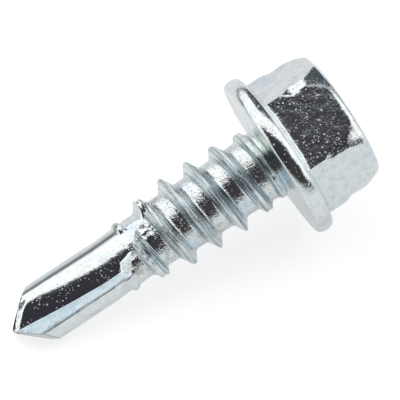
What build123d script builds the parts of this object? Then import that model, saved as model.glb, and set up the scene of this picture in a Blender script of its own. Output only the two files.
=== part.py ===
from build123d import *
import os
from math import cos, radians, sin, tan

# Self drilling screw with a hexagon washer head, ST5.5 thread, in millimetres.
# It is one forged piece. It is made standing on its point, with its axis on +Z,
# and the last block lays it down on its flange and its drill point.

# heights along the axis, measured from the point
land_end_z = 7.30        # end of the drill section
core_start_z = 7.70      # start of the thread's core
bearing_z = 18.28        # flat underside of the flange
hex_foot_z = 19.53       # foot of the hexagon
head_end_z = 23.45       # top of the head

# shank and flange
drill_r = 1.93
core_r = 1.98
flange_r = 5.27
neck_fillet = 0.80       # under the head; it ends outside the thread's crests
bulge_r = 0.85           # the flange's rim bulges, this far either side of its middle
bulge_angle = 28
rim_low_fillet = 0.20
rim_top_fillet = 0.28
cone_angle = 17          # the flange slopes up from its rim to the hexagon
hex_foot_r = 4.30

# head
across_flats = 7.88
corner_turn = 51.8       # direction of one corner, in degrees about the axis
dish_r = 2.5             # shallow dish in the top of the head
dish_depth = 0.22
head_root = 0.3          # the hexagon starts this far inside the flange

# thread: single start, right hand
pitch = 1.8
full_crest_r = 2.715
crest_half = 0.06        # half of the flat on the full crest
flank_angle = 29         # between a flank and the plane across the axis
flare_height = 0.13      # over this height above the core the flanks flare out
flare_width = 0.22
root_depth = 0.29        # the ridge starts this far inside the core

# height and radius of the crest. The blank doesn't fill the die at either end of the thread,
# and there the crest is lower and wider between the same flanks
crest_stations = [
    (6.70, 1.79),
    (7.15, 1.93),
    (7.60, 2.05),
    (8.05, 2.09),
    (8.50, 2.12),
    (9.40, 2.32),
    (10.30, 2.46),
    (11.20, 2.66),
    (12.10, 2.71),
    (13.00, 2.715),
    (13.90, 2.715),
    (14.80, 2.71),
    (15.70, 2.66),
    (16.60, 2.46),
    (17.50, 2.44),
    (17.95, 2.38),
    (18.40, 2.30),
    (18.85, 2.24),
]

# drill point
cutting_edge_turn = 123.4   # direction of a cutting edge, in degrees about the axis
cutting_face_turn = 36      # between the cutting face and the Y axis
wall_roll = 57              # how far the trailing wall rolls over towards the heel
heel_roll = 67              # it leaves across a crease, this much steeper
lip_slope_x = 1.019         # slopes of the flank ground behind each cutting lip
lip_slope_y = 0.346
cutter_reach = 3.4
cutter_heel = 1.3

# the web thickens away from the point: height, half of the web, start and radius of the wall's roll
flute_stations = [
    (-0.5, 0.19, 0.73, 0.97),
    (1.4, 0.43, 0.70, 1.00),
    (3.0, 0.645, 0.46, 1.28),
    (4.5, 0.805, 0.18, 1.59),
    (6.0, 0.92, 0.00, 1.79),
    (8.0, 0.955, -0.06, 1.83),
    (11.0, 1.00, -0.08, 1.86),
]

# each flute runs out against a slanting plane, later along the shank towards the heel
runout_point = (0.30, 0.95, 8.60)
runout_normal = (-1.45, 0.25, 1.00)

# it ends sooner beside its cutting edge, against a lump of the core
lump_side_x = -0.17
lump_foot_z = 7.60
lump_size = 3.0

# attitude at rest: a flute faces the ground, and the axis rises towards the head
rest_roll = 118.0
rest_tilt = 14.26


# cutter for one flute: a straight cutting face, and a trailing wall that rolls over to the heel
cutting_edge = Vector(drill_r, 0).rotate(Axis.Z, cutting_edge_turn)
inward = Vector(0, -1).rotate(Axis.Z, cutting_face_turn)
with BuildPart() as flute:
    for height, web_half, roll_start, roll_r in flute_stations:
        floor = cutting_edge + inward * ((web_half - cutting_edge.Y) / inward.Y)
        outside = cutting_edge - inward * cutter_heel
        with BuildSketch(Plane.XY.offset(height)):
            with BuildLine():
                wall = Line(floor, (roll_start, web_half))
                roll = JernArc(wall @ 1, (1, 0), roll_r, -wall_roll)
                heel = PolarLine(roll @ 1, cutter_heel, -heel_roll)
                Polyline(
                    heel @ 1,
                    (cutter_reach, 0),
                    (cutter_reach, cutter_reach),
                    (outside.X, cutter_reach),
                    outside,
                    floor,
                )
            make_face()
    loft()
    split(bisect_by=Plane(origin=runout_point, z_dir=runout_normal), keep=Keep.BOTTOM)
    with Locations((lump_side_x, 0, lump_foot_z)):
        Box(
            lump_size,
            2 * lump_size,
            lump_size,
            align=(Align.MAX, Align.CENTER, Align.MIN),
            mode=Mode.SUBTRACT,
        )

# hexagon, its corners knocked back by a turned envelope, with a dished top
with BuildPart() as hexagon:
    with BuildSketch(Plane.XY.offset(hex_foot_z - head_root)):
        RegularPolygon(across_flats / 2, 6, major_radius=False, rotation=corner_turn)
    extrude(amount=head_end_z - hex_foot_z + head_root)
    with BuildSketch(Plane.XZ):
        with BuildLine():
            foot = Line((0, hex_foot_z - head_root), (4.70, hex_foot_z - head_root))
            side = Spline(foot @ 1, (4.61, 20.1), (4.37, 21.15), (4.41, 21.9), (4.29, 22.54), (4.11, 23.07))
            edge = JernArc(side @ 1, side % 1, 0.5, 60)
            Polyline(edge @ 1, (3.4, head_end_z), (0, head_end_z), foot @ 0)
        make_face()
    revolve(mode=Mode.INTERSECT)
    with BuildSketch(Plane.XY.offset(head_end_z)):
        Circle(dish_r)
    extrude(amount=-dish_depth, taper=30, mode=Mode.SUBTRACT)

# ridge of the thread
with BuildPart() as thread:
    foot_z = crest_stations[0][0]
    top_z = crest_stations[-1][0]
    inner = core_r - root_depth
    with BuildLine():
        helix = Helix(pitch, top_z - foot_z, core_r, (0, 0, foot_z))
    for height, crest_r in crest_stations:
        share = (height - foot_z) / (top_z - foot_z)
        here = helix @ share
        half = crest_half + (full_crest_r - crest_r) * tan(radians(flank_angle))
        flare_r = min(core_r + flare_height, (inner + crest_r) / 2)
        flare_half = crest_half + (full_crest_r - flare_r) * tan(radians(flank_angle))
        across = Plane(origin=(0, 0, height), x_dir=(here.X, here.Y, 0), z_dir=helix % share)
        with BuildSketch(across):
            with BuildLine():
                Polyline(
                    (inner, -flare_half - flare_width),
                    (flare_r, -flare_half),
                    (crest_r, -half),
                    (crest_r, half),
                    (flare_r, flare_half),
                    (inner, flare_half + flare_width),
                    close=True,
                )
            make_face()
    sweep(path=helix, is_frenet=True, multisection=True)

with BuildPart() as upright:
    # shank, neck and flange
    rim_foot_r = flange_r - bulge_r + (bulge_r - rim_low_fillet) * cos(radians(bulge_angle))
    with BuildSketch(Plane.XZ):
        with BuildLine():
            shank = FilletPolyline(
                (0, 0),
                (drill_r, 0),
                (drill_r, land_end_z),
                (core_r, core_start_z),
                (core_r, bearing_z),
                (rim_foot_r, bearing_z),
                radius=[0, 0, 0, neck_fillet],
            )
            low = JernArc(shank @ 1, (1, 0), rim_low_fillet, 90 - bulge_angle)
            bulge = JernArc(low @ 1, low % 1, bulge_r, 2 * bulge_angle)
            top = JernArc(bulge @ 1, bulge % 1, rim_top_fillet, 90 - bulge_angle - cone_angle)
            Polyline(top @ 1, (hex_foot_r, hex_foot_z), (0, hex_foot_z), (0, 0))
        make_face()
    revolve()
    add(hexagon.part)
    add(thread.part)
    # drill point: two flutes, then the flanks ground behind the cutting lips
    add(flute.part, mode=Mode.SUBTRACT)
    add(flute.part, rotation=(0, 0, 180), mode=Mode.SUBTRACT)
    split(bisect_by=Plane(origin=(0, 0, 0), z_dir=(lip_slope_x, -lip_slope_y, 1)))
    split(bisect_by=Plane(origin=(0, 0, 0), z_dir=(-lip_slope_x, lip_slope_y, 1)))

with BuildPart() as lying:
    add(upright.part.rotate(Axis.Z, rest_roll).rotate(Axis.Y, 90 - rest_tilt))

# the origin is under the middle of the screw, on the ground
box = lying.part.bounding_box()
with BuildPart() as screw:
    with Locations((-box.center().X, -box.center().Y, -box.min.Z)):
        add(lying.part)

os.makedirs("parts", exist_ok=True)
screw.part.label = "screw"
export_step(screw.part, "parts/screw.step")
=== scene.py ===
import bpy, bmesh
from math import atan2, cos, degrees, pi, radians, sin, sqrt, tan
from mathutils import Matrix, Vector, noise


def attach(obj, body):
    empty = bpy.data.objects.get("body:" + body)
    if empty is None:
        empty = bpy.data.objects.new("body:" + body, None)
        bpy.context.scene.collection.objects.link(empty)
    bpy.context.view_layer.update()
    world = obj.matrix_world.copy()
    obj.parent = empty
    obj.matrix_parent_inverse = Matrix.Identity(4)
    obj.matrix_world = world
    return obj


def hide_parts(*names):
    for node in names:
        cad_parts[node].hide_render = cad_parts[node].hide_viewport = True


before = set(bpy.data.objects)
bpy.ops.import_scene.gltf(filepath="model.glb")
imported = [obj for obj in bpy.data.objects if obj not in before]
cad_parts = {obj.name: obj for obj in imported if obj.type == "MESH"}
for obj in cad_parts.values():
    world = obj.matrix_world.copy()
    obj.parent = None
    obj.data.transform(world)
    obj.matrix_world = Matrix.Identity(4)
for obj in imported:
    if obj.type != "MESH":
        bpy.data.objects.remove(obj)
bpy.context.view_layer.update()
mm = 0.001
print("frame loaded")

# how the screw lies. It is built standing on its point, in millimetres, and laid down last
lie = {"roll": 118.0, "tilt": 14.26, "tip": (-11.7591, 0.0, 0.5068)}
turned = Matrix.Rotation(radians(90 - lie["tilt"]), 4, "Y") @ Matrix.Rotation(radians(lie["roll"]), 4, "Z")
laid = Matrix.Translation(Vector(lie["tip"]) * mm) @ turned @ Matrix.Scale(mm, 4)


def colour(hexCode):
    # sRGB hex to linear
    parts = [int(hexCode[i:i + 2], 16) / 255 for i in (0, 2, 4)]
    return tuple(p / 12.92 if p <= 0.04045 else ((p + 0.055) / 1.055) ** 2.4 for p in parts) + (1.0,)


def between(table, x):
    # straight-line reading of a table of (x, y) pairs
    if x <= table[0][0]:
        return table[0][1]
    for (x0, y0), (x1, y1) in zip(table, table[1:]):
        if x <= x1:
            return y0 + (y1 - y0) * (x - x0) / (x1 - x0)
    return table[-1][1]


def eased(table, x):
    # the same with rounded corners
    reach = 0.12
    return sum(between(table, x + reach * k) for k in (-1, -0.5, 0, 0.5, 1)) / 5


def smooth(x):
    x = min(1, max(0, x))
    return x * x * (3 - 2 * x)


def softMax(a, b, width):
    h = max(width - abs(a - b), 0) / width
    return max(a, b) + h * h * width / 4


def softMin(a, b, width):
    return -softMax(-a, -b, width)


def wobble(x, y, z, scale):
    # smooth noise from about -1 to 1; scale in mm
    return noise.noise(Vector((x, y, z)) / scale)


def angleOf(p):
    return degrees(atan2(p[1], p[0]))


def halfTurn(theta):
    # direction within the half turn that belongs to one flute, from -30 to 150 degrees
    return (theta + 30) % 180 - 30


# the drill point: radii and heights in mm, directions in degrees round the axis
point = {
    "landR": 1.96, "edgeTurn": 123.4, "faceTurn": 36, "wallRoll": 57, "heelRoll": 67,
    "lipSlope": (1.13, 0.22), "tipRound": 0.16, "chiselX": 0.085,
    # over height: half of the web, and the start and radius of the roll of the flute's wall
    "web": [(0, 0.25), (1.42, 0.43), (2.9, 0.634), (4.38, 0.796), (5.86, 0.918), (7.46, 0.95), (10.6, 1.0)],
    "rollStart": [(0, 0.72), (1.4, 0.71), (2.6, 0.55), (3.5, 0.365), (4.7, 0.145), (5.9, 0.0), (8.2, -0.06),
                  (10.6, -0.08)],
    "rollR": [(0, 0.97), (1.4, 0.99), (2.6, 1.17), (3.5, 1.39), (4.7, 1.63), (5.9, 1.79), (8.2, 1.83),
              (10.6, 1.85)],
    "webLeast": 0.08,
    # over direction: height at which the flute ends, and how steeply it comes out
    "end": [(-20, 10.5), (17, 10.5), (33, 10.5), (40, 10.35), (48, 10.0), (52, 9.55), (56, 9.2), (60, 8.9),
            (68, 8.62), (76, 8.5), (94, 8.45), (99.5, 7.6), (112, 7.45), (124, 7.3)],
    "endSlope": [(17, 1.2), (40, 2.0), (90, 2.5), (99, 2.8)],
    "endRound": 0.12, "endWobble": 0.04,
    "shift": -0.09,   # the point sits a little off the shank's axis
    "crown": 0.56, "crownFull": 0.40, "crownReach": 0.66,
    "burr": 0.035, "burrTurn": 8, "burrEndZ": 7.6,
    "crumple": 0.10, "crumpleZ": (8, 10.6), "crumpleTurn": (44, 97),
    "threadFromZ": 6.4, "heelRidge": 1.8, "heelRidgeTurn": 26,
    "tipRows": 9, "sideRows": 74, "topZ": 7.9,
}
# columns in half a turn, all in one ring with the thread's and the head's
share = {"heel": 12, "roll": 40, "wall": 6, "web": 26, "face": 12, "land": 24}
halfColumns = sum(share.values())
columns = 2 * halfColumns


def fluteSection(z, drop=0):
    # the web, the roll and the heel of one flute at a height
    web, start, rollR = eased(point["web"], z), eased(point["rollStart"], z), eased(point["rollR"], z)
    if drop:
        web -= softMin(drop, web - point["webLeast"], 0.05)
    roll, turn, face, back = (radians(point[k]) for k in ("wallRoll", "edgeTurn", "faceTurn", "heelRoll"))
    edge = (point["landR"] * cos(turn), point["landR"] * sin(turn))
    inward = (sin(face), -cos(face))
    floorX = edge[0] + inward[0] * (web - edge[1]) / inward[1]
    crease = (start + rollR * sin(roll), web - rollR * (1 - cos(roll)))
    along = crease[0] * cos(back) - crease[1] * sin(back)
    reach = -along + sqrt(along * along - crease[0] ** 2 - crease[1] ** 2 + point["landR"] ** 2)
    heel = (crease[0] + reach * cos(back), crease[1] - reach * sin(back))
    return {"web": web, "start": start, "rollR": rollR, "edge": edge, "inward": inward, "crease": crease,
            "floor": (floorX, web), "heel": heel, "chisel": min(point["chiselX"], start - 0.2)}


def columnAngle(column, section):
    # direction of a column; the columns stay on the flute's edges as its section changes
    turns, place = divmod(column, halfColumns)
    base = 180 * turns
    for part, count in share.items():
        if place < count:
            break
        place -= count
    t = place / count
    if part == "land":
        first, last = point["edgeTurn"], 180 + angleOf(section["heel"])
        return base + first + (last - first) * t ** 1.25
    if part == "roll":
        bend = radians(point["wallRoll"]) * (1 - t)
        return base + angleOf((section["start"] + section["rollR"] * sin(bend),
                               section["web"] - section["rollR"] * (1 - cos(bend))))
    a, c = {
        "heel": (section["heel"], section["crease"]),
        "wall": ((section["start"], section["web"]), (section["chisel"], section["web"])),
        "web": ((section["chisel"], section["web"]), section["floor"]),
        "face": (section["floor"], section["edge"]),
    }[part]
    return base + angleOf((a[0] + (c[0] - a[0]) * t, a[1] + (c[1] - a[1]) * t))


def fluteR(theta, z, section):
    # how far out the metal reaches where a flute is cut, or None
    local = halfTurn(theta)
    if not angleOf(section["heel"]) - 1e-6 <= local <= point["edgeTurn"] + 1e-6:
        return None
    c, s = cos(radians(local)), sin(radians(local))
    if local >= angleOf(section["floor"]) - 1e-6:
        nx, ny = -section["inward"][1], section["inward"][0]
        r = (section["edge"][0] * nx + section["edge"][1] * ny) / (nx * c + ny * s)
    elif local >= angleOf((section["start"], section["web"])):
        r = section["web"] / s
    elif local >= angleOf(section["crease"]):
        cx, cy = section["start"], section["web"] - section["rollR"]
        dot = cx * c + cy * s
        r = dot + sqrt(dot * dot - cx * cx - cy * cy + section["rollR"] ** 2)
    else:
        nx, ny = sin(radians(point["heelRoll"])), cos(radians(point["heelRoll"]))
        r = (section["crease"][0] * nx + section["crease"][1] * ny) / (nx * c + ny * s)
    past = z - between(point["end"], local) - point["endWobble"] * wobble(theta / 8, z, 3, 1)
    if past > 0:
        r += between(point["endSlope"], local) * past * min(1, past / point["endRound"])
    return r


# the thread, single start and right hand
thread = {
    "pitch": 1.8, "crestZ": 12.1, "half": 0.06, "fullR": 2.715, "flank": 29, "root": 0.26, "crestRound": 0.07,
    # crest radius over the height of the crest, and core radius over height
    "crest": [(6.6, 1.7), (7.2, 2.0), (7.6, 2.09), (8.5, 2.17), (9.4, 2.36), (10.3, 2.46), (11.2, 2.66),
              (12.1, 2.712), (14.8, 2.712), (15.7, 2.65), (16.6, 2.45), (17.4, 2.45), (17.8, 2.38),
              (18.3, 2.27)],
    "core": [(7.3, 1.93), (7.7, 1.945), (9, 1.965), (13, 1.975), (15, 2.0), (17, 2.06), (18, 2.1)],
    # the unfilled crest is wide, but narrows at the thread's two ends
    "narrow": [(8.6, 0.25), (9.4, 0.95), (17.2, 1.0), (17.9, 0.35)],
    # the last turn bends away from the flange: how far its crest is drawn back
    "drawnBack": [(16.6, 0.0), (17.0, 0.05), (17.5, 0.13), (17.95, 0.27), (18.4, 0.6), (18.85, 1.0),
                  (19.3, 1.45)],
    # unevenness of the crest's radius and of its path, each as least and as share of what isn't filled
    "crestWobble": (0.008, 0.07), "pathWobble": (0.012, 0.05), "fold": 0.12, "seam": (0.02, 0.2),
    "firstTurn": -4, "turns": 8, "topZ": 18.08,
}
# rows either side of the middle of the crest: across the crest, down the flank and round the root
rowPlan = {
    "crest": (0.35, 0.62, 0.82, 0.94, 1.0), "flank": (0.25, 0.5, 0.72), "root": (0.88, 1.0, 1.12, 1.27, 1.45),
    "rootSpread": 0.11,
}
neck = {"fillet": 0.3, "coreR": 2.06, "bearingZ": 18.28, "rows": 6}


def crestHalf(crestR, crestZ=12):
    # half width of the crest, wider where the die wasn't filled
    unfilled = thread["fullR"] - crestR
    return thread["half"] + unfilled * tan(radians(thread["flank"])) * between(thread["narrow"], crestZ)


def rowOffsets(crestR, coreR):
    # offsets of one turn's rows from the crest, from halfway below to just short of halfway above
    base = crestHalf(coreR)
    top = min(crestHalf(crestR), base)
    side = [top * t for t in rowPlan["crest"]]
    side += [top + (base - top) * t for t in rowPlan["flank"]]
    side += [top + (base - top) * t + rowPlan["rootSpread"] * max(0, t - 0.75) for t in rowPlan["root"]]
    side.append((side[-1] + thread["pitch"] / 2) / 2)
    return [-thread["pitch"] / 2] + [-s for s in reversed(side)] + [0] + side


rowsPerTurn = len(rowOffsets(2.7, 2.0))


def neckR(z):
    rise = z - (neck["bearingZ"] - neck["fillet"])
    if rise <= 0:
        return 0
    return neck["coreR"] + neck["fillet"] - sqrt(max(neck["fillet"] ** 2 - rise ** 2, 0))


def threadR(theta, z):
    turn = round((z - thread["crestZ"]) / thread["pitch"] - theta / 360)
    along = turn + theta / 360
    crestZ = thread["crestZ"] + thread["pitch"] * along
    coreR = softMax(eased(thread["core"], z), neckR(z), 0.1)
    unfilled = thread["fullR"] - eased(thread["crest"], crestZ)
    least, more = thread["crestWobble"]
    crestR = thread["fullR"] - unfilled + (least + more * unfilled) * wobble(along * 14, 3, 0, 1)
    if crestR < coreR - 0.1:
        return coreR
    least, more = thread["pathWobble"]
    offset = z - crestZ + between(thread["drawnBack"], crestZ)
    offset -= (least + more * unfilled) * wobble(along * 11, 0, 7, 1)
    half = crestHalf(crestR, crestZ)
    flank = crestR - (abs(offset) - half) / tan(radians(thread["flank"]))
    # two lips with a closing seam between them, and folds along it
    least, more = thread["seam"]
    seam = (least + more * (half - thread["half"])) * max(0, 1 - (offset / (half * 0.8)) ** 2)
    folds = unfilled * thread["fold"] * wobble(along * 40, offset * 4, 1, 1)
    crest = softMin(flank, crestR + folds + 0.012, thread["crestRound"]) - seam
    return softMax(coreR, crest, thread["root"])


def shankR(theta, z, section):
    onThread = z > point["threadFromZ"]
    r = threadR(theta, z) if onThread else point["landR"]
    local = halfTurn(theta)
    pastEdge = local - point["edgeTurn"]
    if 0 <= pastEdge < point["burrTurn"] and z < point["burrEndZ"]:   # burr thrown up along the cutting edge
        uneven = 1 + 0.7 * wobble(z, theta / 90, 5, 0.35)
        r += point["burr"] * uneven * (1 - pastEdge / point["burrTurn"]) ** 3
    cut = fluteR(theta, z, section)
    if cut is None:
        return r
    if onThread and local < point["heelRidgeTurn"]:   # the ridge runs on over the heel
        ridge = max(0, r - eased(thread["core"], z) - 0.02)
        cut += point["heelRidge"] * ridge * smooth((point["heelRidgeTurn"] - local) / 18)
    (lowZ, highZ), (lowTurn, highTurn) = point["crumpleZ"], point["crumpleTurn"]
    if lowZ < z < highZ:   # the metal is crumpled where the flute ends
        near = smooth((z - between(point["end"], local) + 0.4) / 0.3) * smooth((highZ - 0.05 - z) / 0.35)
        near *= smooth((local - lowTurn) / 8) * smooth((highTurn - local) / 8)
        folds = wobble(theta / 14, z * 1.4, 8, 0.45) + 0.45 * wobble(theta / 14, z * 1.4, 2, 0.2)
        return softMin(r, cut, 0.1) + point["crumple"] * near * folds
    return min(r, cut)


def placed(r, theta, z):
    shift = point["shift"] * smooth((9 - z) / 3)
    return Vector((r * cos(radians(theta)) + shift, r * sin(radians(theta)), z))


def crown(column, past):
    # the flute's wall drops away towards the ground flank, but the heel and the cutting face don't
    step = column % halfColumns - share["heel"]
    length = share["roll"] + share["wall"] + share["web"]
    full, reach = point["crownFull"], point["crownReach"]
    if step <= 0 or step >= length or past > reach:
        return 0
    fade = smooth(step / 24) * smooth((length - step) / 22)
    if past < full:
        return point["crown"] * fade * (full - past + (reach - full) / 2)
    return point["crown"] * fade * (reach - past) ** 2 / (reach - full) / 2


def flankZ(r, theta):
    # height of the ground flanks, slightly rounded at the chisel edge
    slopeX, slopeY = point["lipSlope"]
    rise = slopeX * r * cos(radians(theta)) - slopeY * r * sin(radians(theta))
    return sqrt(rise * rise + point["tipRound"] ** 2) - point["tipRound"]


def pointPlace(column, row):
    # rows from the chisel edge: first the ground flanks, then up the fluted length
    z = 1.0
    for _ in range(12):   # closes in on the height where this column meets the ground flank
        section = fluteSection(z, crown(column, 0))
        theta = columnAngle(column % columns, section)
        r = shankR(theta, z, section)
        z = flankZ(r, theta)
    if row <= point["tipRows"]:
        t = 1 - (1 - row / point["tipRows"]) ** 2
        return placed(r * t, theta, flankZ(r * t, theta))
    past = (point["topZ"] - z) * ((row - point["tipRows"]) / point["sideRows"]) ** 1.3
    z += past
    section = fluteSection(z, crown(column, past))
    theta = columnAngle(column % columns, section)
    return placed(shankR(theta, z, section), theta, z)


topSection = fluteSection(point["topZ"])
shankAngles = [columnAngle(c, topSection) for c in range(columns)]


def onThread(column, row):
    # direction, distance along the thread in turns, crest height and offset from the crest
    turn, step = divmod(row, rowsPerTurn)
    theta = shankAngles[column % columns] + (360 if column == columns else 0)
    along = thread["firstTurn"] + turn + theta / 360
    crestZ = thread["crestZ"] + thread["pitch"] * along
    offsets = rowOffsets(eased(thread["crest"], crestZ), between(thread["core"], crestZ))
    return theta, along, crestZ, offsets[step]


def threadPlace(column, row):
    # rows climb with the crest; below and above the thread they are pressed flat into one ring
    theta, along, crestZ, offset = onThread(column, row)
    z = max(crestZ - between(thread["drawnBack"], crestZ) + offset, crestZ - thread["pitch"] / 2)
    z = min(max(z, point["topZ"]), thread["topZ"])
    return placed(shankR(theta, z, fluteSection(z)), theta, z)


# the flange has a rim that bulges, with a tighter rounding to either side of the bulge
flange = {
    "r": 5.27, "bulgeR": 0.85, "bulgeZ": 18.78, "bulgeTurn": 28, "lowR": 0.2, "topR": 0.28,
    "coneTop": 19.55, "coneR": 4.30, "coneSlope": 17,
}
# the hexagon: its corners are knocked back by a turned envelope, and its flats round over into the top
head = {
    "flat": 3.94, "turn": 81.8, "topZ": 23.45, "filletR": 0.13, "roundZ": 23.05, "roundR": 0.36,
    "cornerBlend": 0.006, "topBlend": 0.0025,
    "envelope": [(19.2, 4.8), (20.0, 4.62), (20.6, 4.54), (20.85, 4.46), (21.1, 4.375), (21.25, 4.362),
                 (21.75, 4.405), (22.0, 4.41), (22.2, 4.38), (22.54, 4.29), (22.95, 4.16), (23.15, 4.09),
                 (23.25, 4.02), (23.33, 3.93), (23.39, 3.82), (23.43, 3.67), (23.45, 3.45)],
    "rows": 44, "topRows": 4, "dishR": 2.5, "dishDepth": 0.22, "dishRows": 8,
    "dishEdge": [(0.06, 0.03), (0.2, 0.13), (0.34, 0.2)],
    "crowding": 0.13,   # the columns crowd towards the corners
}
perFace = columns // 6


def headAngle(column):
    face, step = divmod(column + perFace // 2, perFace)
    t = step / perFace
    return head["turn"] - 90 + 60 * face + 60 * (t - head["crowding"] * sin(2 * pi * t))


def fromFlat(theta):
    # degrees from the middle of the nearest flat
    return (theta - head["turn"] + 30) % 60 - 30


def hexR(theta, z):
    over = min(max(0, z - head["roundZ"]), head["roundR"])
    flat = head["flat"] - head["roundR"] + sqrt(head["roundR"] ** 2 - over ** 2)
    envelope = eased(head["envelope"], z) if z < 23.2 else between(head["envelope"], z)
    blend = head["cornerBlend"] + head["topBlend"] * max(0, z - 21.0)
    return softMin(flat / cos(radians(fromFlat(theta))), envelope, blend)


def coneZ(r):
    return flange["coneTop"] - max(0, r - flange["coneR"]) * tan(radians(flange["coneSlope"]))


def arc(centre, radius, first, last, steps):
    turns = [radians(first + (last - first) * k / steps) for k in range(steps + 1)]
    return [(centre[0] + radius * cos(a), centre[1] + radius * sin(a)) for a in turns]


def headProfile(theta):
    # half section of the neck, flange, hexagon and top in one direction
    low, high = thread["topZ"], neck["bearingZ"]
    heights = [low + (high - low) * k / neck["rows"] for k in range(1, neck["rows"] + 1)]
    path = [(neckR(z), z) for z in heights]
    turn, slant = flange["bulgeTurn"], flange["coneSlope"]
    middle = (flange["r"] - flange["bulgeR"], flange["bulgeZ"])
    lowReach, topReach = flange["bulgeR"] - flange["lowR"], flange["bulgeR"] - flange["topR"]
    lowCentre = arc(middle, lowReach, -turn, -turn, 1)[0]
    topCentre = arc(middle, topReach, turn, turn, 1)[0]
    inner = path[-1][0]
    path += [(inner + (lowCentre[0] - inner) * k / 7, lowCentre[1] - flange["lowR"]) for k in range(1, 7)]
    path += arc(lowCentre, flange["lowR"], -90, -turn, 5)
    path += arc(middle, flange["bulgeR"], -turn, turn, 8)[1:-1]
    path += arc(topCentre, flange["topR"], turn, 90 - slant, 6)
    # up the cone to the hexagon's foot
    foot = hexR(theta, 19.7) + head["filletR"]
    start = path[-1]
    rise = coneZ(foot) - start[1]
    path += [(start[0] + (foot - start[0]) * k / 6, start[1] + rise * k / 6) for k in range(1, 6)]
    path += arc((foot, coneZ(foot) + head["filletR"]), head["filletR"], -90, -180, 4)
    # up the hexagon, with rows closer together near the top
    low = path[-1][1]
    for k in range(1, head["rows"] + 1):
        z = low + (head["topZ"] - low) * (1 - (1 - k / head["rows"]) ** 1.6)
        path.append((hexR(theta, z), z))
    # across the top and down into the dish
    top, rim, topZ = path[-1][0], head["dishR"], head["topZ"]
    path += [(top + (rim - top) * k / head["topRows"], topZ) for k in range(1, head["topRows"] + 1)]
    path += [(rim - x, topZ - z) for x, z in head["dishEdge"]]
    inner = rim - head["dishEdge"][-1][0]
    for k in range(1, head["dishRows"] + 1):
        t = 1 - k / head["dishRows"]
        path.append((inner * t, topZ - head["dishDepth"] + 0.02 * t))
    return path


headRows = len(headProfile(0))
hexTopRow = headRows - head["topRows"] - len(head["dishEdge"]) - head["dishRows"]


def headPlace(column, row):
    if row == 0:
        theta = shankAngles[column % columns]
        return placed(shankR(theta, thread["topZ"], fluteSection(thread["topZ"])), theta, thread["topZ"])
    # the columns turn from the shank's spacing to the hexagon's under the flange
    t = min(1, max(0, (row - neck["rows"]) / 8))
    low, high = shankAngles[column % columns], headAngle(column % columns)
    theta = low + (high - low) * t
    r, z = headProfile(theta)[row - 1]
    return Vector((r * cos(radians(theta)), r * sin(radians(theta)), z))


# marks that tell the material what made each part of the surface, and where shade is painted into its colour
markNames = ("paintedShade", "pit", "ground", "rolled", "along", "across", "core")


def pointMarks(column, row):
    # painted shade darkens the flute's crease, the cutting edge and the rim of the ground flanks
    step = column % halfColumns
    edge = halfColumns - share["land"]
    paintedShade = 0.9 * max(0, 1 - abs(step - edge) / 2.6)
    if step <= share["heel"] + 8:
        paintedShade = max(paintedShade, smooth(1 - abs(step - share["heel"]) / 8))
    up = row - point["tipRows"]
    if 0 <= up < 4:
        paintedShade = max(paintedShade, (0.8, 0.6, 0.3, 0.1)[up])
    # the flute is pitted, less so on its roll, and its cutting face is ground
    past = step - share["heel"]
    pit = (0.25 + 0.75 * smooth((past - 18) / 14)) * smooth((past - 4) / 6)
    pit *= smooth((edge - share["face"] - step) / 3)
    ground = smooth((step - edge + share["face"] + 0.5) / 1.5) * smooth((edge - step + 0.5) / 1.5)
    return {"paintedShade": paintedShade, "pit": pit if up > 0 else 0, "ground": ground if up > 0 else 0}


def threadMarks(column, row):
    # where the dies have rolled the flanks, and how far along and across the thread each point is
    theta, along, crestZ, offset = onThread(column, row)
    base = crestHalf(between(thread["core"], crestZ))
    rolled = smooth((base + 0.02 - abs(offset)) / 0.1) * smooth((crestZ - 7.2) / 0.8)
    if crestZ > 17.4:   # the narrow last turn
        drawnZ = crestZ - between(thread["drawnBack"], crestZ) + offset
        rolled = smooth((0.36 - abs(offset)) / 0.08) * smooth((18.02 - drawnZ) / 0.05)
    core = smooth((abs(offset) - base) / 0.08)
    # along and across are in mm, taken at a radius of 2.4
    marks = {"paintedShade": 0, "pit": 0, "rolled": rolled, "core": core,
             "along": along * 2 * pi * 2.4, "across": offset}
    local, z = halfTurn(theta), crestZ + offset
    if not -19 < local < point["edgeTurn"] or z >= between(point["end"], local):
        return marks
    # the flute runs on into the thread
    cut = pointMarks(column, point["tipRows"] + 9)
    if z < point["topZ"] + 0.01:
        return cut
    # the painted shade along the flute's edges fades out up the thread
    return {**marks, "paintedShade": cut["paintedShade"] * smooth((8.9 - z) / 0.7), "pit": cut["pit"], "rolled": 0, "core": 0}


def headMarks(column, row):
    if row <= hexTopRow - head["rows"]:
        return {"pit": 0.35}
    theta = headAngle(column % columns)
    if not head["turn"] - 30 < theta < head["turn"]:
        return {"pit": 0.65}
    # painted shade darkens one edge between a flat and its turned corner
    z = headProfile(theta)[row - 1][1]
    apart = abs(head["flat"] / cos(radians(fromFlat(theta))) - between(head["envelope"], z))
    dimming = smooth((z - 21.9) / 0.25) * smooth((-fromFlat(theta) - 2) / 3) * smooth(1.3 - apart / 0.05)
    return {"pit": 0.65, "paintedShade": 0.85 * dimming}


def wrap(body, rows, place, marks):
    # a flat grid wound once round the axis, each of its points moved to its place
    layers = body.verts.layers.float
    layers = {name: layers.get(name) or layers.new(name) for name in markNames}
    grid = bmesh.ops.create_grid(body, x_segments=columns, y_segments=rows, size=0.5)
    for vertex in grid["verts"]:
        column, row = round((vertex.co.x + 0.5) * columns), round((vertex.co.y + 0.5) * rows)
        vertex.co = place(column, row)
        for name, value in marks(column, row).items():
            vertex[layers[name]] = value


# how the mesh is closed and shaded: distances in mm, angles in degrees
finish = {"merge": 0.0008, "least": 0.0003, "sharp": 32, "sharpOnHead": 14, "headFromZ": 19.8,
          "lumpZ": (7.15, 8.75), "lumpTurn": (90, 127), "lumpPasses": 5}


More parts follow.
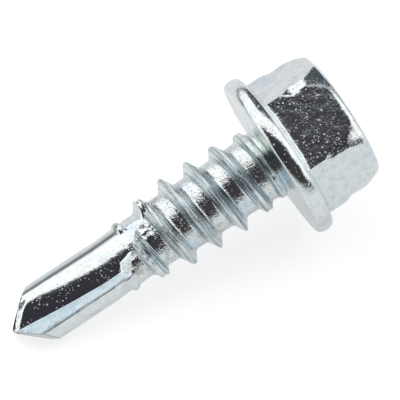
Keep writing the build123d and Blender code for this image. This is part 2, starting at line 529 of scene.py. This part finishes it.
def onLump(place):
    (lowZ, highZ), (lowTurn, highTurn) = finish["lumpZ"], finish["lumpTurn"]
    return lowZ < place.z < highZ and lowTurn < halfTurn(degrees(atan2(place.y, place.x))) < highTurn


def makeScrew():
    body = bmesh.new()
    wrap(body, point["tipRows"] + point["sideRows"], pointPlace, pointMarks)
    print("drill point made")
    wrap(body, thread["turns"] * rowsPerTurn, threadPlace, threadMarks)
    print("thread made")
    wrap(body, headRows, headPlace, headMarks)
    print("flange and head made")
    bmesh.ops.remove_doubles(body, verts=body.verts, dist=finish["merge"])
    bmesh.ops.dissolve_degenerate(body, edges=body.edges, dist=finish["least"])
    for _ in range(finish["lumpPasses"]):   # the lump beside the cutting edge is worn smooth
        bmesh.ops.smooth_vert(body, verts=[v for v in body.verts if onLump(v.co)], factor=0.5,
                              use_axis_x=True, use_axis_y=True, use_axis_z=True)
    bmesh.ops.recalc_face_normals(body, faces=body.faces)
    for face in body.faces:
        face.smooth = True
    for edge in body.edges:
        limit = finish["sharpOnHead"] if edge.verts[0].co.z > finish["headFromZ"] else finish["sharp"]
        edge.smooth = edge.calc_face_angle(0) < radians(limit)
    bmesh.ops.transform(body, matrix=laid, verts=body.verts)
    mesh = bpy.data.meshes.new("drillScrew")
    body.to_mesh(mesh)
    openEdges = sum(1 for edge in body.edges if len(edge.link_faces) != 2)
    triangles = sum(len(face.verts) - 2 for face in body.faces)
    print("screw:", len(body.verts), "points", triangles, "triangles", openEdges, "open edges")
    body.free()
    piece = bpy.data.objects.new("drillScrew", mesh)
    bpy.context.scene.collection.objects.link(piece)
    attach(piece, "root")
    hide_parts("screw")
    return piece


def addNode(tree, kind, settings=None, inputs=None):
    # one node with its settings; each input is a value or the socket that feeds it
    node = tree.nodes.new(kind)
    for name, value in (settings or {}).items():
        setattr(node, name, value)
    for name, value in (inputs or {}).items():
        if isinstance(value, bpy.types.NodeSocket):
            tree.links.new(value, node.inputs[name])
        else:
            node.inputs[name].default_value = value
    return node


# bright zinc on steel with a thin passivation: a cool white that mirrors what is around it, slightly green or
# blue in places. Forging and tumbling have pitted it, and the dies have drawn dull streaks along the thread
zinc = {
    "clear": "E6EEEE", "greenish": "E1EAE6", "bluish": "D8E7EF", "dimming": "EFF0F1", "ground": "DDE6EF",
    # edge is the colour of the painted shade on creases and edges, and also of the specks on the core
    "rolledDark": "98AEB7", "rolledPale": "F0F7F8", "edge": "687072", "stain": "8A6C58",
    "roughness": 0.13, "rolledRoughness": 0.2, "mottleRoughness": 0.08, "pitRoughness": 0.55,
    # sizes of the patterns in mm; grain and streaks are drawn coarser than real ones, which wouldn't show
    "pitCell": (0.27, 0.15), "pitR": 0.22, "streak": 0.09, "streakLength": 1.8,
    # heights of the relief in mm
    "grainHeight": 0.006, "coreHeight": 0.032, "waveHeight": 0.014, "pitDepth": 0.05, "streakHeight": 0.10,
    # clouded patterns: size in mm, detail, a shift that keeps them apart, and the range spread from 0 to 1
    "clouds": {
        "blue": (2.6, 2, 0, (0.35, 0.5)),
        "green": (2.6, 2, 31, (0.5, 0.68)),
        "mottle": (0.5, 4, 7, (0.42, 0.75)),
        "stained": (1.1, 3, 53, (0.56, 0.68)),
        "speck": (0.11, 2, 11, (0.60, 0.72)),
        "pitsHere": (0.9, 2, 77, (0.44, 0.58)),
        "pitsThere": (0.9, 2, 91, (0.44, 0.58)),
        "dull": (0.5, 4, 7, (0.4, 0.8)),
        "wave": (0.45, 1, 19, None),
        "grain": (0.13, 2, 23, None),
    },
    # the same, but laid out along the thread
    "runs": {"drawn": (0.144, 2, 9, (0.38, 0.6)), "streak": (0.09, 2, 3, None)},
}


def zincPlate():
    material = bpy.data.materials.new("brightZincPlate")
    material.use_nodes = True
    tree = material.node_tree
    shader = tree.nodes["Principled BSDF"]
    values = {name: addNode(tree, "ShaderNodeAttribute", {"attribute_name": name}).outputs["Fac"]
              for name in markNames}
    place = addNode(tree, "ShaderNodeTexCoord").outputs["Object"]
    inMm = addNode(tree, "ShaderNodeMapping", {}, {"Vector": place, "Scale": (1000, 1000, 1000)}).outputs[0]
    squeezed = addNode(tree, "ShaderNodeMath", {"operation": "MULTIPLY"},
                       {0: values["along"], 1: zinc["streak"] / zinc["streakLength"]}).outputs[0]
    run = addNode(tree, "ShaderNodeCombineXYZ", {}, {"X": squeezed, "Y": values["across"]}).outputs[0]
    for name, (size, detail, shift, spread) in {**zinc["clouds"], **zinc["runs"]}.items():
        moved = addNode(tree, "ShaderNodeMapping", {}, {
            "Vector": run if name in zinc["runs"] else inMm, "Location": (shift, shift, shift)})
        cloud = addNode(tree, "ShaderNodeTexNoise", {}, {
            "Vector": moved.outputs[0], "Scale": 1 / size, "Detail": detail, "Roughness": 0.55})
        values[name] = cloud.outputs["Fac"]
        if spread:
            values[name] = addNode(tree, "ShaderNodeMapRange", {"interpolation_type": "SMOOTHSTEP"}, {
                "Value": values[name], "From Min": spread[0], "From Max": spread[1]}).outputs[0]
    for name, size in zip(("smallPits", "tinyPits"), zinc["pitCell"]):
        cells = addNode(tree, "ShaderNodeTexVoronoi", {}, {
            "Vector": inMm, "Scale": 1 / size, "Randomness": 1.0})
        values[name] = addNode(tree, "ShaderNodeMapRange", {"interpolation_type": "SMOOTHSTEP"}, {
            "Value": cells.outputs["Distance"], "From Min": 0.06, "From Max": zinc["pitR"]}).outputs[0]

    # arithmetic: each row names its result, the operation, and marks, patterns, earlier results or numbers
    for name, operation, *terms in (
        ("rolledShare", "MULTIPLY", "rolled", 0.8),
        ("stainShare", "MULTIPLY_ADD", "core", 0.26, 0.12),
        ("stain", "MULTIPLY", "stained", "stainShare"),
        ("speckShare", "MULTIPLY", "core", 0.65),
        ("specks", "MULTIPLY", "speck", "speckShare"),
        # pits: dots in some of the clouds, in the flutes, the core and a few on the rest
        ("smallDots", "SUBTRACT", 1.0, "smallPits"),
        ("smallDots", "MULTIPLY", "smallDots", "pitsHere"),
        ("tinyDots", "SUBTRACT", 1.0, "tinyPits"),
        ("tinyDots", "MULTIPLY", "tinyDots", "pitsThere"),
        ("dots", "MAXIMUM", "smallDots", "tinyDots"),
        ("pitted", "MULTIPLY", "core", 0.8),
        ("pitted", "MAXIMUM", "pit", "pitted"),
        ("pitted", "MAXIMUM", "pitted", 0.15),
        ("pits", "MULTIPLY", "dots", "pitted"),
        ("rough", "MULTIPLY_ADD", "rolled", zinc["rolledRoughness"] - zinc["roughness"], zinc["roughness"]),
        ("rough", "MULTIPLY_ADD", "dull", zinc["mottleRoughness"], "rough"),
        ("rough", "MULTIPLY_ADD", "pits", zinc["pitRoughness"], "rough"),
        # relief: pits, streaks along the thread, soft waves, and a grain that is coarser on the core
        ("height", "MULTIPLY", "pits", -zinc["pitDepth"]),
        ("streaks", "MULTIPLY", "streak", "rolled"),
        ("height", "MULTIPLY_ADD", "streaks", zinc["streakHeight"], "height"),
        ("height", "MULTIPLY_ADD", "wave", zinc["waveHeight"], "height"),
        ("rise", "MULTIPLY_ADD", "core", zinc["coreHeight"] - zinc["grainHeight"], zinc["grainHeight"]),
        ("height", "MULTIPLY_ADD", "grain", "rise", "height"),
    ):
        inputs = {k: values[term] if isinstance(term, str) else term for k, term in enumerate(terms)}
        values[name] = addNode(tree, "ShaderNodeMath", {"operation": operation}, inputs).outputs[0]

    # colour, from the plate itself to what lies on it, and last the painted shade along creases and edges
    drawn = addNode(tree, "ShaderNodeMixRGB", {}, {
        "Fac": values["drawn"], "Color1": colour(zinc["rolledDark"]), "Color2": colour(zinc["rolledPale"])})
    tint = colour(zinc["bluish"])
    for blend, amount, coat in (
        ("MIX", "blue", colour(zinc["clear"])),
        ("MIX", "green", colour(zinc["greenish"])),
        ("MULTIPLY", "mottle", colour(zinc["dimming"])),
        ("MULTIPLY", "ground", colour(zinc["ground"])),
        ("MIX", "rolledShare", drawn.outputs[0]),
        ("MIX", "stain", colour(zinc["stain"])),
        ("MIX", "specks", colour(zinc["edge"])),
        # painted shade along the creases and edges
        ("MIX", "paintedShade", colour(zinc["edge"])),
    ):
        tint = addNode(tree, "ShaderNodeMixRGB", {"blend_type": blend}, {
            "Fac": values[amount], "Color1": tint, "Color2": coat}).outputs[0]
    relief = addNode(tree, "ShaderNodeBump", {}, {"Height": values["height"], "Distance": mm})
    shader.inputs["Metallic"].default_value = 1.0
    tree.links.new(tint, shader.inputs["Base Color"])
    tree.links.new(values["rough"], shader.inputs["Roughness"])
    tree.links.new(relief.outputs[0], shader.inputs["Normal"])
    return material


screw = makeScrew()
screw.data.materials.append(zincPlate())
print("zinc plate made")

# the camera looks square across the screw, with the point a little nearer than the head
view = {"target": (0.343, 0.0, 13.47), "distance": 150.0, "pitch": 2.6, "roll": 33.4, "pixelsPerMm": 16.9,
        "pixels": 400, "sensor": 36}


def aimCamera():
    across = turned.to_3x3()
    axis, up, toward = across @ Vector((0, 0, 1)), across @ Vector((1, 0, 0)), across @ Vector((0, 1, 0))
    lean, roll = radians(view["pitch"]), radians(view["roll"])
    back = toward * cos(lean) - axis * sin(lean)
    along = (axis - back * axis.dot(back)).normalized()
    upright = back.cross(along)
    right = along * cos(roll) - upright * sin(roll)
    top = along * sin(roll) + upright * cos(roll)
    camera = bpy.data.objects.new("camera", bpy.data.cameras.new("camera"))
    bpy.context.scene.collection.objects.link(camera)
    camera.matrix_world = Matrix((right, top, back)).transposed().to_4x4()
    camera.location = laid @ Vector(view["target"]) + back * view["distance"] * mm
    camera.data.sensor_width = view["sensor"]
    camera.data.lens = view["pixelsPerMm"] * view["distance"] / view["pixels"] * view["sensor"]
    camera.data.clip_start = 0.01
    bpy.context.scene.camera = camera


# the light is strips side by side, from the camera's left to its right. Each holds a brightness and colour
# over the angle from the camera up over the screw, in degrees
pale, dark, box, gap = (0.6, 0.6, 0.6), (0.040, 0.037, 0.046), (1.27, 1.23, 1.24), (0.09, 0.10, 0.11)
warm, warmer = (0.062, 0.05, 0.05), (0.075, 0.06, 0.056)
studio = {
    "tilt": 33.4,
    "strips": {
        "farLeft": [(-180, pale), (-56, pale), (-50, box), (96, box), (101, gap), (124, gap), (132, pale),
                    (180, pale)],
        "left": [(-180, pale), (-54, pale), (-46, dark), (21, dark), (28, box), (112, box), (118, gap),
                 (128, gap), (136, pale), (180, pale)],
        "middle": [(-180, pale), (-54, pale), (-46, dark), (21, dark), (28, box), (65, box), (71, gap),
                   (128, gap), (136, pale), (180, pale)],
        "brown": [(-180, pale), (-54, pale), (-46, dark), (-35, dark), (-27, warmer), (-10, warm), (-3, dark),
                  (21, dark), (28, box), (65, box), (71, gap), (128, gap), (136, pale), (180, pale)],
        "right": [(-180, pale), (-50, pale), (-43, dark), (5, dark), (12, box), (86, box), (92, gap),
                  (112, gap), (120, pale), (180, pale)],
        "farRight": [(-180, pale), (-50, pale), (-43, dark), (-30, dark), (-24, pale), (-14, box), (86, box),
                     (100, pale), (180, pale)],
        "end": [(-180, pale), (-18, pale), (-8, box), (86, box), (100, pale), (180, pale)],
    },
    # where one strip turns into the next
    "edges": [(-0.84, -0.77), (-0.26, -0.17), (-0.10, 0.02), (0.42, 0.55), (0.76, 0.81), (0.955, 0.98)],
}
# a little glow for the camera and for reflections makes the floor as pale as paper and keeps its shadow
floor = {"size": 2.0, "colour": (0.50, 0.505, 0.51, 1), "roughness": 0.9,
         "seenGlow": 0.75, "mirroredGlow": 0.49}


def makeFloor():
    mesh = bpy.data.meshes.new("floor")
    sheet = bmesh.new()
    bmesh.ops.create_grid(sheet, x_segments=1, y_segments=1, size=floor["size"])
    sheet.to_mesh(mesh)
    sheet.free()
    ground = bpy.data.objects.new("floor", mesh)
    bpy.context.scene.collection.objects.link(ground)
    material = bpy.data.materials.new("paleFloor")
    material.use_nodes = True
    tree = material.node_tree
    shader = tree.nodes["Principled BSDF"]
    shader.inputs["Base Color"].default_value = floor["colour"]
    shader.inputs["Roughness"].default_value = floor["roughness"]
    shader.inputs["Specular IOR Level"].default_value = 0.0
    rays = addNode(tree, "ShaderNodeLightPath")
    seen = addNode(tree, "ShaderNodeMath", {"operation": "MULTIPLY"}, {
        0: rays.outputs["Is Camera Ray"], 1: floor["seenGlow"]})
    both = addNode(tree, "ShaderNodeMath", {"operation": "MULTIPLY_ADD"}, {
        0: rays.outputs["Is Glossy Ray"], 1: floor["mirroredGlow"], 2: seen.outputs[0]})
    glow = addNode(tree, "ShaderNodeEmission", {}, {"Color": (1, 1, 1, 1), "Strength": both.outputs[0]})
    lit = addNode(tree, "ShaderNodeAddShader", {}, {0: shader.outputs[0], 1: glow.outputs[0]})
    tree.links.new(lit.outputs[0], tree.nodes["Material Output"].inputs["Surface"])
    mesh.materials.append(material)


def makeLight():
    world = bpy.data.worlds.new("studio")
    bpy.context.scene.world = world
    world.use_nodes = True
    tree = world.node_tree
    way = addNode(tree, "ShaderNodeTexCoord").outputs["Generated"]
    square = turned.to_3x3() @ Matrix.Rotation(radians(-studio["tilt"]), 3, "Y")
    own = addNode(tree, "ShaderNodeMapping", {"vector_type": "POINT"}, {
        "Vector": way, "Rotation": square.inverted().to_euler()})
    apart = addNode(tree, "ShaderNodeSeparateXYZ", {}, {"Vector": own.outputs[0]})
    around = addNode(tree, "ShaderNodeMath", {"operation": "ARCTAN2"}, {
        0: apart.outputs["X"], 1: apart.outputs["Y"]})
    turnShare = addNode(tree, "ShaderNodeMapRange", {}, {
        "Value": around.outputs[0], "From Min": -pi, "From Max": pi})
    light = None
    for levels, edge in zip(studio["strips"].values(), [None] + studio["edges"]):
        ramp = addNode(tree, "ShaderNodeValToRGB", {}, {"Fac": turnShare.outputs[0]})
        stops = ramp.color_ramp.elements
        stops.remove(stops[1])
        stops[0].position, stops[0].color = 0, levels[0][1] + (1,)
        for angle, level in levels[1:]:
            stops.new((angle + 180) / 360).color = level + (1,)
        if edge is None:
            light = ramp
            continue
        step = addNode(tree, "ShaderNodeMapRange", {"interpolation_type": "SMOOTHSTEP"}, {
            "Value": apart.outputs["Z"], "From Min": edge[0], "From Max": edge[1]})
        light = addNode(tree, "ShaderNodeMixRGB", {}, {
            "Fac": step.outputs[0], "Color1": light.outputs[0], "Color2": ramp.outputs[0]})
    sky = tree.nodes["Background"]
    tree.links.new(light.outputs[0], sky.inputs["Color"])
    sky.inputs["Strength"].default_value = 1.0
    # the camera sees plain white behind the floor
    white = addNode(tree, "ShaderNodeBackground", {}, {"Color": (1, 1, 1, 1)})
    rays = addNode(tree, "ShaderNodeLightPath")
    seen = addNode(tree, "ShaderNodeMixShader", {}, {
        0: rays.outputs["Is Camera Ray"], 1: sky.outputs[0], 2: white.outputs[0]})
    tree.links.new(seen.outputs[0], tree.nodes["World Output"].inputs["Surface"])


aimCamera()
makeFloor()
makeLight()
bpy.context.scene.view_settings.view_transform = "Standard"
print("camera, floor and light made")
